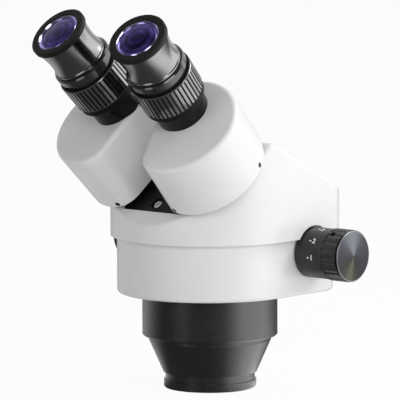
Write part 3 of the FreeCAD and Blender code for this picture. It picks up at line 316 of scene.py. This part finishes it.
lensCoatAndPaintedReflection = {
    "bands": [  # share of the lens radius and the colour there: the coating's tint, with painted reflections in lighter rings
        (0.0, (0.012, 0.008, 0.050)), (0.30, (0.020, 0.014, 0.080)), (0.42, (0.040, 0.030, 0.140)),
        (0.52, (0.020, 0.014, 0.080)), (0.66, (0.026, 0.020, 0.100)), (0.78, (0.075, 0.058, 0.24)),
        (0.86, (0.035, 0.026, 0.13)), (1.0, (0.15, 0.12, 0.40)),
    ],
    "radius": 0.0112,
    "haze": 0.0045,         # size of the painted reflection haze over the rings
    "hazeLow": 0.5, "hazeHigh": 1.9,
    "rough": 0.06, "metal": 0.6, "shine": 0.15,
    "coat": 0.15, "coatRough": 0.02, "coatTint": (0.8, 0.75, 1.0),
}


def coatedLensFinish(side, settings):
    # A dark lens with a blue-violet coating tint, and painted reflections: lighter rings towards its edge
    # and a soft painted haze over them
    finish, tree, shader = startFinish(side + "CoatedLens")
    distance = axisDistance(tree, *tubeLine(side))[0]
    ramp = tree.nodes.new("ShaderNodeValToRGB")
    ramp.color_ramp.interpolation = "EASE"
    fillRamp(ramp.color_ramp, settings["bands"])
    tree.links.new(addRange(tree, distance, 0.0, 1.0, 0.0, settings["radius"]), ramp.inputs["Fac"])
    where = tree.nodes.new("ShaderNodeTexCoord").outputs["Object"]
    # painted haze: a soft cloud of reflected light over the rings
    haze = addNoise(tree, where, settings["haze"], 1.0)
    paintedHazeShare = addRange(tree, haze, settings["hazeLow"], settings["hazeHigh"])
    tree.links.new(addScale(tree, ramp.outputs["Color"], paintedHazeShare), shader.inputs["Base Color"])
    shader.inputs["Roughness"].default_value = settings["rough"]
    shader.inputs["Metallic"].default_value = settings["metal"]
    shader.inputs["Specular IOR Level"].default_value = settings["shine"]
    shader.inputs["Coat Weight"].default_value = settings["coat"]
    shader.inputs["Coat Roughness"].default_value = settings["coatRough"]
    shader.inputs["Coat Tint"].default_value = (*settings["coatTint"], 1.0)
    return finish


capFinish = {
    # share of a turn about the shaft and the colour there: a painted sheen, lighter sectors where the turned
    # face catches the light
    "sectors": [
        (0.0, (0.045, 0.045, 0.035)), (0.08, (0.022, 0.023, 0.026)), (0.25, (0.030, 0.031, 0.036)),
        (0.39, (0.05, 0.052, 0.06)), (0.47, (0.145, 0.15, 0.17)), (0.55, (0.14, 0.145, 0.16)),
        (0.63, (0.05, 0.052, 0.06)), (0.78, (0.028, 0.029, 0.032)), (0.89, (0.03, 0.03, 0.026)),
        (0.96, (0.10, 0.10, 0.075)), (1.0, (0.045, 0.045, 0.035)),
    ],
    # rim: a painted highlight, a bright band just inside the edge; edge: a dark band at the very edge
    "rim": (0.20, 0.20, 0.21), "rimFrom": 0.01355, "rimTo": 0.0138,
    "edge": (0.01, 0.01, 0.01), "edgeFrom": 0.01405, "edgeTo": 0.0142,
    "rough": 0.32, "metal": 0.95, "brushed": 0.6,
    "lines": 0.0004, "lineDepth": 0.000003, "lineSpread": 0.15,
}


def turnedCapFinish(settings):
    # Turned metal: fine rings about the shaft, with a painted sheen in sectors round it and a painted
    # highlight in a bright band at the rim
    finish, tree, shader = startFinish("turnedCap")
    distance, around = axisDistance(tree, headSizes["shaftPlace"], (1.0, 0.0, 0.0))
    ringWhere = tree.nodes.new("ShaderNodeCombineXYZ")
    tree.links.new(distance, ringWhere.inputs["X"])
    rings = addNoise(tree, ringWhere.outputs["Vector"], settings["lines"], 3.0)
    parts = tree.nodes.new("ShaderNodeSeparateXYZ")
    tree.links.new(around, parts.inputs["Vector"])
    turned = joinMath(tree, "ARCTAN2", parts.outputs["Z"], parts.outputs["Y"])
    # painted sheen: lighter and darker sectors round the shaft
    ramp = tree.nodes.new("ShaderNodeValToRGB")
    ramp.color_ramp.interpolation = "B_SPLINE"
    fillRamp(ramp.color_ramp, settings["sectors"])
    tree.links.new(addRange(tree, turned, 0.0, 1.0, -math.pi, math.pi), ramp.inputs["Fac"])
    colour = ramp.outputs["Color"]
    # the rim band is a painted highlight
    for part in ("rim", "edge"):
        share = addRange(tree, distance, 0.0, 1.0, settings[part + "From"], settings[part + "To"])
        colour = mixColours(tree, share, colour, settings[part])
    shade = addRange(tree, rings, 1.0 - settings["lineSpread"], 1.0 + settings["lineSpread"])
    tree.links.new(addScale(tree, colour, shade), shader.inputs["Base Color"])
    tree.links.new(addBump(tree, rings, settings["lineDepth"]), shader.inputs["Normal"])
    shader.inputs["Metallic"].default_value = settings["metal"]
    shader.inputs["Roughness"].default_value = settings["rough"]
    shader.inputs["Anisotropic"].default_value = settings["brushed"]
    swept = tree.nodes.new("ShaderNodeVectorTransform")
    swept.vector_type = "VECTOR"
    swept.convert_from = "OBJECT"
    swept.convert_to = "WORLD"
    tree.links.new(around, swept.inputs["Vector"])
    tree.links.new(swept.outputs["Vector"], shader.inputs["Tangent"])
    return finish


glassFinish = {"tint": (0.92, 0.96, 0.95), "rough": 0.02, "bend": 1.52}


def clearGlassFinish(settings):
    finish, tree, shader = startFinish("clearGlass")
    shader.inputs["Base Color"].default_value = (*settings["tint"], 1.0)
    shader.inputs["Roughness"].default_value = settings["rough"]
    shader.inputs["Transmission Weight"].default_value = 1.0
    shader.inputs["IOR"].default_value = settings["bend"]
    return finish


made = {name: surfaceFinish(name, settings) for name, settings in finishes.items()}
for side in ("right", "left"):
    made[side + "Grip"] = ribbedGripFinish(side, gripFinish)
    made[side + "CoatedLens"] = coatedLensFinish(side, lensCoatAndPaintedReflection)
made["satinCap"] = turnedCapFinish(capFinish)
made["clearGlass"] = clearGlassFinish(glassFinish)
print("finishes made:", len(made))

# Which finish each CAD node shows
nodeFinish = {
    "whitePaint": ["lower_housing", "upper_cover", "prism_casing"],
    "blackPaint": ["binocular_carrier", "zoom_frame", "objective_plate", "fold_prism_brackets",
                   "prism_holder"],
    "barrelBlack": ["objective_barrel"],
    "ringBlack": ["thread_ring", "turntable"],
    "eyepieceBlack": ["eyepiece_barrel"],
    "tubeBlack": ["eyepiece_tube"],
    "holderBlack": ["eyepiece_holder"],
    "rightGrip": ["right_dioptre_ring"],
    "leftGrip": ["left_dioptre_ring"],
    "softBlack": ["eye_ring"],
    "knobGrey": ["zoom_knob"],
    "satinCap": ["knob_cap"],
    "brightSteel": ["guide_rods", "carrier_screws", "zoom_shaft"],
    "darkSteel": ["housing_screws", "barrel_screws", "knob_set_screws", "casing_screws", "lock_screw"],
    "brass": ["shaft_bushes", "zoom_cam", "retaining_ring"],
    "carrierMetal": ["upper_carrier", "lower_carrier"],
    "clearGlass": ["objective_lens", "upper_zoom_lens", "lower_zoom_lens", "field_lens",
                   "fold_prism", "erecting_prism"],
    "rightCoatedLens": ["eye_lens"],
}


def dressNodes():
    wanted = {plain: name for name, plains in nodeFinish.items() for plain in plains}
    for name, node in nodes.items():
        plain = name.replace("right_", "").replace("left_", "")
        finish = made[wanted.get(name) or wanted[plain]]
        if not node.material_slots:
            node.data.materials.append(finish)
        for slot in node.material_slots:
            slot.link = "DATA"
            slot.material = finish


dressNodes()
print("CAD nodes dressed")


def keepMesh(bm, name):
    mesh = bpy.data.meshes.new(name)
    bm.to_mesh(mesh)
    bm.free()
    return mesh


def joinPart(whole, part):
    mesh = keepMesh(part, "part")
    whole.from_mesh(mesh)
    bpy.data.meshes.remove(mesh)


def newPiece(name, mesh, finish, body):
    piece = bpy.data.objects.new(name, mesh)
    scene.collection.objects.link(piece)
    mesh.materials.clear()
    mesh.materials.append(made[finish])
    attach(piece, body)
    return piece


# Numbers and ticks on the zoom knobs' sleeves
scaleSettings = {
    "marks": ["1", "2", "3", "4", "5", "6", "7"],
    "firstAngle": -4.5,     # degrees up from the front, for the first mark
    "step": 39.3,
    "sleeveRadius": 0.0142,
    "tickFrom": 0.0617,
    "tickTo": 0.0631,
    "tickWidth": 0.0007,
    "numberMiddle": 0.0649,
    "numberSize": 0.0040,
    "numberBold": 0.035,    # share of the size by which the strokes are widened
    "depth": 0.00004, "cutStep": 0.0004,
}


def numberMesh(text, size, bold):
    curve = bpy.data.curves.new("numberCurve", "FONT")
    curve.body = text
    curve.size = size
    curve.align_x = "CENTER"
    curve.align_y = "CENTER"
    curve.offset = size * bold
    holder = bpy.data.objects.new("numberHolder", curve)
    scene.collection.objects.link(holder)
    bpy.context.view_layer.update()
    shown = holder.evaluated_get(bpy.context.evaluated_depsgraph_get())
    mesh = bpy.data.meshes.new_from_object(shown)
    bpy.data.objects.remove(holder)
    return mesh


def wrapOnSleeve(bm, angle, settings):
    # x runs along the shaft, y round the sleeve; the cuts let the flat faces follow the curve
    for cut in range(-4, 5):
        geometry = [*bm.verts, *bm.edges, *bm.faces]
        place = (0, cut * settings["cutStep"], 0)
        bmesh.ops.bisect_plane(bm, geom=geometry, plane_co=place, plane_no=(0, 1, 0))
    radius = settings["sleeveRadius"] + settings["depth"]
    for vert in bm.verts:
        around = angle + vert.co.y / radius
        vert.co = Vector((
            vert.co.x,
            headSizes["shaftPlace"][1] - radius * math.cos(around),
            headSizes["shaftPlace"][2] + radius * math.sin(around),
        ))


def knobScale(side, settings):
    out = 1.0 if side == "right" else -1.0
    whole = bmesh.new()
    for index, text in enumerate(settings["marks"]):
        angle = math.radians(settings["firstAngle"] + settings["step"] * index)
        part = bmesh.new()
        mesh = numberMesh(text, settings["numberSize"], settings["numberBold"])
        part.from_mesh(mesh)
        bpy.data.meshes.remove(mesh)
        bmesh.ops.translate(part, verts=part.verts, vec=(out * settings["numberMiddle"], 0, 0))
        half = settings["tickWidth"] / 2
        near, far = sorted((out * settings["tickFrom"], out * settings["tickTo"]))
        corners = ((near, -half, 0), (far, -half, 0), (far, half, 0), (near, half, 0))
        part.faces.new([part.verts.new(corner) for corner in corners])
        wrapOnSleeve(part, angle, settings)
        joinPart(whole, part)
    name = side + "KnobScale"
    newPiece(name, keepMesh(whole, name), "markWhite", "zoom_drive")


for side in ("right", "left"):
    knobScale(side, scaleSettings)
print("knob scales made")


def spunMesh(name, profile, place, steps=96):
    # Turns (radius, height) corners about the Z axis of a frame into one smooth skin
    bm = bmesh.new()
    rings = []
    for radius, height in profile:
        if radius < 1e-7:
            rings.append([bm.verts.new(place @ Vector((0, 0, height)))])
            continue
        ring = []
        for step in range(steps):
            angle = 2 * math.pi * step / steps
            corner = Vector((radius * math.cos(angle), radius * math.sin(angle), height))
            ring.append(bm.verts.new(place @ corner))
        rings.append(ring)
    for low, high in zip(rings, rings[1:]):
        for step in range(steps):
            after = (step + 1) % steps
            corners = [
                low[step % len(low)], low[after % len(low)], high[after % len(high)], high[step % len(high)],
            ]
            bm.faces.new(list(dict.fromkeys(corners)))
    bmesh.ops.recalc_face_normals(bm, faces=bm.faces)
    mesh = keepMesh(bm, name)
    for face in mesh.polygons:
        face.use_smooth = True
    return mesh


# Each eye lens: a dome and the polished, slanted edge round it
lensSettings = {
    "ringTop": 0.0617,      # height of the eye ring's face above the box
    "domeRise": 0.0013,
    "domeRadius": 0.0112,
    "domeSteps": 14,
    "edgeRadius": 0.01185,
    "seatRadius": 0.01248,
    "domeEdge": -0.0011,    # from the eye ring's face down
    "edgeLow": -0.0017,
    "seatHigh": -0.0006,
    "back": -0.0040,
}


def eyeLens(side, settings):
    place = sideFlip[side] @ tubeFrame
    top = settings["ringTop"]
    radius, rise = settings["domeRadius"], settings["domeRise"]
    ball = (radius**2 + rise**2) / (2 * rise)
    dome = []
    for step in range(settings["domeSteps"] + 1):
        reach = radius * step / settings["domeSteps"]
        dome.append((reach, top + settings["domeEdge"] + rise - ball + math.sqrt(ball**2 - reach**2)))
    back = top + settings["back"]
    glass = spunMesh(side + "EyeLensGlass", dome + [(radius, back), (0.0, back)], place)
    piece = newPiece(side + "EyeLensGlass", glass, side + "CoatedLens", side + "_eyepiece")
    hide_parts(side + "_eye_lens")
    edge = [
        (radius, top + settings["domeEdge"]),
        (settings["edgeRadius"], top + settings["edgeLow"]),
        (settings["seatRadius"], top + settings["seatHigh"]),
        (settings["seatRadius"], back), (radius, back),
    ]
    bevel = spunMesh(side + "EyeLensEdge", edge, place)
    for face in bevel.polygons:
        face.use_smooth = False
    newPiece(side + "EyeLensEdge", bevel, "lensBevel", side + "_eyepiece")


for side in ("right", "left"):
    eyeLens(side, lensSettings)
print("eye lenses made")

# Hexagon sockets of the set screws
socketSettings = {"screwRadius": 0.00148, "socketRadius": 0.0008, "height": 0.00028, "stepsPerSide": 4}


def socketFace(bm, place, settings):
    # Z of the frame points out of the screw
    outer, inner = [], []
    parts = settings["stepsPerSide"]
    steps = 6 * parts
    for step in range(steps):
        angle = 2 * math.pi * step / steps
        outer.append(settings["screwRadius"] * Vector((math.cos(angle), math.sin(angle), 0)))
        near, far = (math.radians(60 * (step // parts + corner)) for corner in (0, 1))
        share = (step % parts) / parts
        x = math.cos(near) * (1 - share) + math.cos(far) * share
        y = math.sin(near) * (1 - share) + math.sin(far) * share
        inner.append(settings["socketRadius"] * Vector((x, y, 0)))
    rise = Vector((0, 0, settings["height"]))
    loops = []
    for loop in (outer, [v + rise for v in outer], [v + rise for v in inner], inner):
        loops.append([bm.verts.new(place @ v) for v in loop])
    for low, high in zip(loops, loops[1:]):
        for step in range(steps):
            after = (step + 1) % steps
            bm.faces.new((low[step], low[after], high[after], high[step]))


def outwardFrame(place, out):
    side = out.orthogonal().normalized()
    return axesMatrix(side, out.cross(side), out, place)


def socketPiece(name, frames, body, flip):
    bm = bmesh.new()
    for place in frames:
        socketFace(bm, flip @ place, socketSettings)
    bmesh.ops.recalc_face_normals(bm, faces=bm.faces)
    newPiece(name, keepMesh(bm, name), "darkSteel", body)


screwPlaces = {
    "grubAngles": (12.0, 92.0, 262.0),
    "grubEnd": 0.0322,
    "grubHeight": 0.002,
    "lockAngle": {"right": -62.0, "left": 10.0},
    "lockEnd": 0.0170,
    "lockHeight": 0.0364,
}


def setScrewSockets(side, settings):
    flip = sideFlip[side]
    frames = []
    for angle in settings["grubAngles"]:
        out = Matrix.Rotation(math.radians(angle), 3, "Z") @ Vector((1, 0, 0))
        lift = Vector((0, 0, settings["grubHeight"]))
        place = Vector(headSizes["boxMiddle"]) + out * settings["grubEnd"] + lift
        frames.append(boxFrame @ outwardFrame(place, out))
    socketPiece(side + "BoxScrewSockets", frames, side + "_prism_box", flip)
    out = Matrix.Rotation(math.radians(settings["lockAngle"][side]), 3, "Z") @ Vector((1, 0, 0))
    place = out * settings["lockEnd"] + Vector((0, 0, settings["lockHeight"]))
    socketPiece(side + "LockScrewSocket", [tubeFrame @ outwardFrame(place, out)], side + "_holder", flip)


for side in ("right", "left"):
    setScrewSockets(side, screwPlaces)
print("screw sockets made")

# Two small spanner holes where the knob's ribs begin, drawn as flat discs painted near black: the holes'
# painted shade
dentSettings = {
    "angles": (46.6, -43.5), "along": 0.0724, "sleeveRadius": 0.0146, "half": 0.0009, "narrow": 0.6,
    "depth": 0.00003, "cutStep": 0.0003,
}


def knobDents(side, settings):
    out = 1.0 if side == "right" else -1.0
    whole = bmesh.new()
    for angle in settings["angles"]:
        part = bmesh.new()
        bmesh.ops.create_circle(part, cap_ends=True, segments=20, radius=settings["half"])
        for vert in part.verts:
            vert.co.x = vert.co.x * settings["narrow"] + out * settings["along"]
        wrapOnSleeve(part, math.radians(angle), settings)
        joinPart(whole, part)
    name = side + "KnobHoles"
    newPiece(name, keepMesh(whole, name), "deepHole", "zoom_drive")


for side in ("right", "left"):
    knobDents(side, dentSettings)

# The thread inside the lower ring
threadSettings = {
    "radius": 0.0236, "ridge": 0.00035, "root": 0.00002, "pitch": 0.00075, "filled": 0.98,
    "low": -0.0532, "high": -0.0470, "stepsPerTurn": 72,
}


def ringThread(settings):
    bm = bmesh.new()
    perTurn = settings["stepsPerTurn"]
    steps = int((settings["high"] - settings["low"]) / settings["pitch"] * perTurn)
    before = None
    for step in range(steps + 1):
        angle = 2 * math.pi * step / perTurn
        height = settings["low"] + settings["pitch"] * step / perTurn
        fade = min(1.0, 2 * step / perTurn, 2 * (steps - step) / perTurn)    # runs out over half a turn
        row = []
        root, crest = settings["root"], -settings["ridge"] * fade
        for depth, lift in ((root, 0.0), (crest, 0.5), (root, 1.0)):
            radius = settings["radius"] + depth
            rise = lift * settings["pitch"] * settings["filled"]
            row.append(bm.verts.new((radius * math.cos(angle), radius * math.sin(angle), height + rise)))
        if before:
            for low, high in ((0, 1), (1, 2)):
                bm.faces.new((before[low], row[low], row[high], before[high]))
        before = row
    newPiece("lensThread", keepMesh(bm, "lensThread"), "ringBlack", "head")


ringThread(threadSettings)
print("thread and knob holes made")

# Camera, lamps and room
cameraSettings = {
    "azimuth": 41.36, "elevation": 6.94, "roll": -0.21,
    "distance": 2.81898, "lens": 451.6, "sensor": 36.0, "near": 0.1, "far": 50.0,
    "aim": (-0.005517, 0.05097),    # how far the camera stands to the side and up, in metres
}


def photographCamera(settings):
    turn, tilt, roll = (math.radians(settings[key]) for key in ("azimuth", "elevation", "roll"))
    back = Vector((math.sin(turn) * math.cos(tilt), -math.cos(turn) * math.cos(tilt), math.sin(tilt)))
    right = Vector((math.cos(turn), math.sin(turn), 0.0))
    up = back.cross(right)
    sideways = right * math.cos(roll) + up * math.sin(roll)
    upright = up * math.cos(roll) - right * math.sin(roll)
    place = back * settings["distance"] + sideways * settings["aim"][0] + upright * settings["aim"][1]
    lens = bpy.data.cameras.new("photographCamera")
    lens.lens = settings["lens"]
    lens.sensor_width = settings["sensor"]
    lens.clip_start = settings["near"]
    lens.clip_end = settings["far"]
    camera = bpy.data.objects.new("photographCamera", lens)
    camera.matrix_world = axesMatrix(sideways, upright, back, place)
    scene.collection.objects.link(camera)
    scene.camera = camera
    return sideways, upright, back


sideways, upright, towards = photographCamera(cameraSettings)

lampSettings = {
    "rightSide": {"from": (1.2, 0.1, -0.1), "size": (0.8, 1.0), "power": 0.6, "tint": (1.0, 1.0, 1.0)},
    "rightTop": {"from": (0.9, 0.9, 0.0), "size": (0.7, 0.7), "power": 8.0, "tint": (1.0, 1.0, 0.995)},
    "rightFront": {"from": (1.0, 0.15, 0.7), "size": (0.6, 0.8), "power": 4.1, "tint": (1.0, 1.0, 0.995)},
    "front": {"from": (0.15, 0.35, 1.25), "size": (0.6, 0.6), "power": 3.7, "tint": (1.0, 0.995, 0.985)},
    "leftFront": {"from": (-0.9, 0.15, 0.85), "size": (0.4, 0.8), "power": 1.8, "tint": (1.0, 0.985, 0.97)},
}


lampAim = (0.0, -0.02, 0.04)    # the head's middle


def addLamps():
    # Each lamp's place is sideways, upright and towards the camera, from the head's middle
    middle = Vector(lampAim)
    for name, settings in lampSettings.items():
        offset = settings["from"]
        place = middle + sideways * offset[0] + upright * offset[1] + towards * offset[2]
        light = bpy.data.lights.new(name, "AREA")
        light.shape = "RECTANGLE"
        light.size, light.size_y = settings["size"]
        light.energy = settings["power"]
        light.color = settings["tint"]
        lamp = bpy.data.objects.new(name, light)
        lamp.location = place
        lamp.rotation_mode = "QUATERNION"
        lamp.rotation_quaternion = (middle - place).to_track_quat("-Z", "Y")
        scene.collection.objects.link(lamp)


addLamps()

roomSettings = {
    "floorSize": 12.0, "floorColour": (0.86, 0.86, 0.86), "floorRough": 0.9, "floorGap": 0.0002,
    "skyLight": 0.29, "whiteShare": 0.95,
    # degrees from the camera, to its right, and how bright the floor or the room is there
    "floorAround": [
        (-180, 0.3), (-158, 0.4), (-142, 0.8), (-120, 0.8), (-104, 0.4), (-88, 0.1), (0, 0.1),
        (22, 0.25), (42, 1.1), (60, 2.0), (95, 2.1), (118, 0.8), (136, 0.15), (165, 0.15), (180, 0.3),
    ],
    "roomAround": [
        (-180, 0.85), (-140, 0.8), (-118, 0.4), (-95, 0.1), (0, 0.06), (55, 0.1), (74, 1.4),
        (95, 2.1), (128, 2.1), (140, 0.6), (156, 0.9), (180, 0.85),
    ],
    "brightest": 2.2,
}


def studioAround(tree, direction, around):
    # Pale behind the head, darker behind the camera, a bright panel to its right
    parts = []
    for axis in (sideways, towards):
        dot = tree.nodes.new("ShaderNodeVectorMath")
        dot.operation = "DOT_PRODUCT"
        tree.links.new(direction, dot.inputs[0])
        dot.inputs[1].default_value = Vector((axis.x, axis.y, 0)).normalized()
        parts.append(dot.outputs["Value"])
    angle = joinMath(tree, "ARCTAN2", parts[0], parts[1])
    ramp = tree.nodes.new("ShaderNodeValToRGB")
    brightest = roomSettings["brightest"]
    fillRamp(ramp.color_ramp, [(degrees / 360 + 0.5, (glow / brightest,) * 3) for degrees, glow in around])
    tree.links.new(addRange(tree, angle, 0.0, 1.0, -math.pi, math.pi), ramp.inputs["Fac"])
    return addRange(tree, ramp.outputs["Color"], 0.0, brightest, 0.0, 1.0)


def seenGlow(tree, direction, around):
    # What a ray sees there: plain white from the camera and through glass
    path = tree.nodes.new("ShaderNodeLightPath").outputs
    straight = joinMath(tree, "MAXIMUM", path["Is Camera Ray"], path["Is Transmission Ray"])
    mirrored = joinMath(tree, "MULTIPLY", path["Is Glossy Ray"], studioAround(tree, direction, around))
    seen = joinMath(tree, "MAXIMUM", straight, path["Is Glossy Ray"])
    return joinMath(tree, "MAXIMUM", straight, mirrored), seen


def addFloor(settings):
    half = settings["floorSize"] / 2
    bm = bmesh.new()
    corners = ((-half, -half, 0.0), (half, -half, 0.0), (half, half, 0.0), (-half, half, 0.0))
    bm.faces.new([bm.verts.new(corner) for corner in corners])
    mesh = keepMesh(bm, "floor")
    floor = bpy.data.objects.new("floor", mesh)
    floor.location = (0.0, 0.0, cadLow.z - settings["floorGap"])
    scene.collection.objects.link(floor)
    paper, tree, shader = startFinish("paperFloor")
    shader.inputs["Base Color"].default_value = (*settings["floorColour"], 1.0)
    shader.inputs["Roughness"].default_value = settings["floorRough"]
    glow = tree.nodes.new("ShaderNodeEmission")
    glow.inputs["Color"].default_value = (1.0, 1.0, 1.0, 1.0)
    where = tree.nodes.new("ShaderNodeNewGeometry").outputs["Position"]
    strength, seen = seenGlow(tree, where, settings["floorAround"])
    tree.links.new(strength, glow.inputs["Strength"])
    mix = tree.nodes.new("ShaderNodeMixShader")
    tree.links.new(addRange(tree, seen, 0.0, settings["whiteShare"], 0.0, 1.0), mix.inputs[0])
    tree.links.new(shader.outputs["BSDF"], mix.inputs[1])
    tree.links.new(glow.outputs["Emission"], mix.inputs[2])
    tree.links.new(mix.outputs["Shader"], tree.nodes["Material Output"].inputs["Surface"])
    mesh.materials.append(paper)


addFloor(roomSettings)


def addSky(settings):
    sky = bpy.data.worlds.new("studio")
    scene.world = sky
    sky.use_nodes = True
    tree = sky.node_tree
    background = tree.nodes["Background"]
    background.inputs["Color"].default_value = (1.0, 1.0, 1.0, 1.0)
    direction = tree.nodes.new("ShaderNodeTexCoord").outputs["Generated"]
    path = tree.nodes.new("ShaderNodeLightPath").outputs
    shown = seenGlow(tree, direction, settings["roomAround"])[0]
    scattered = addRange(tree, path["Is Diffuse Ray"], 0.0, settings["skyLight"], 0.0, 1.0)
    tree.links.new(joinMath(tree, "MAXIMUM", shown, scattered), background.inputs["Strength"])


addSky(roomSettings)
scene.view_settings.view_transform = "Standard"
print("room, camera and lamps made")
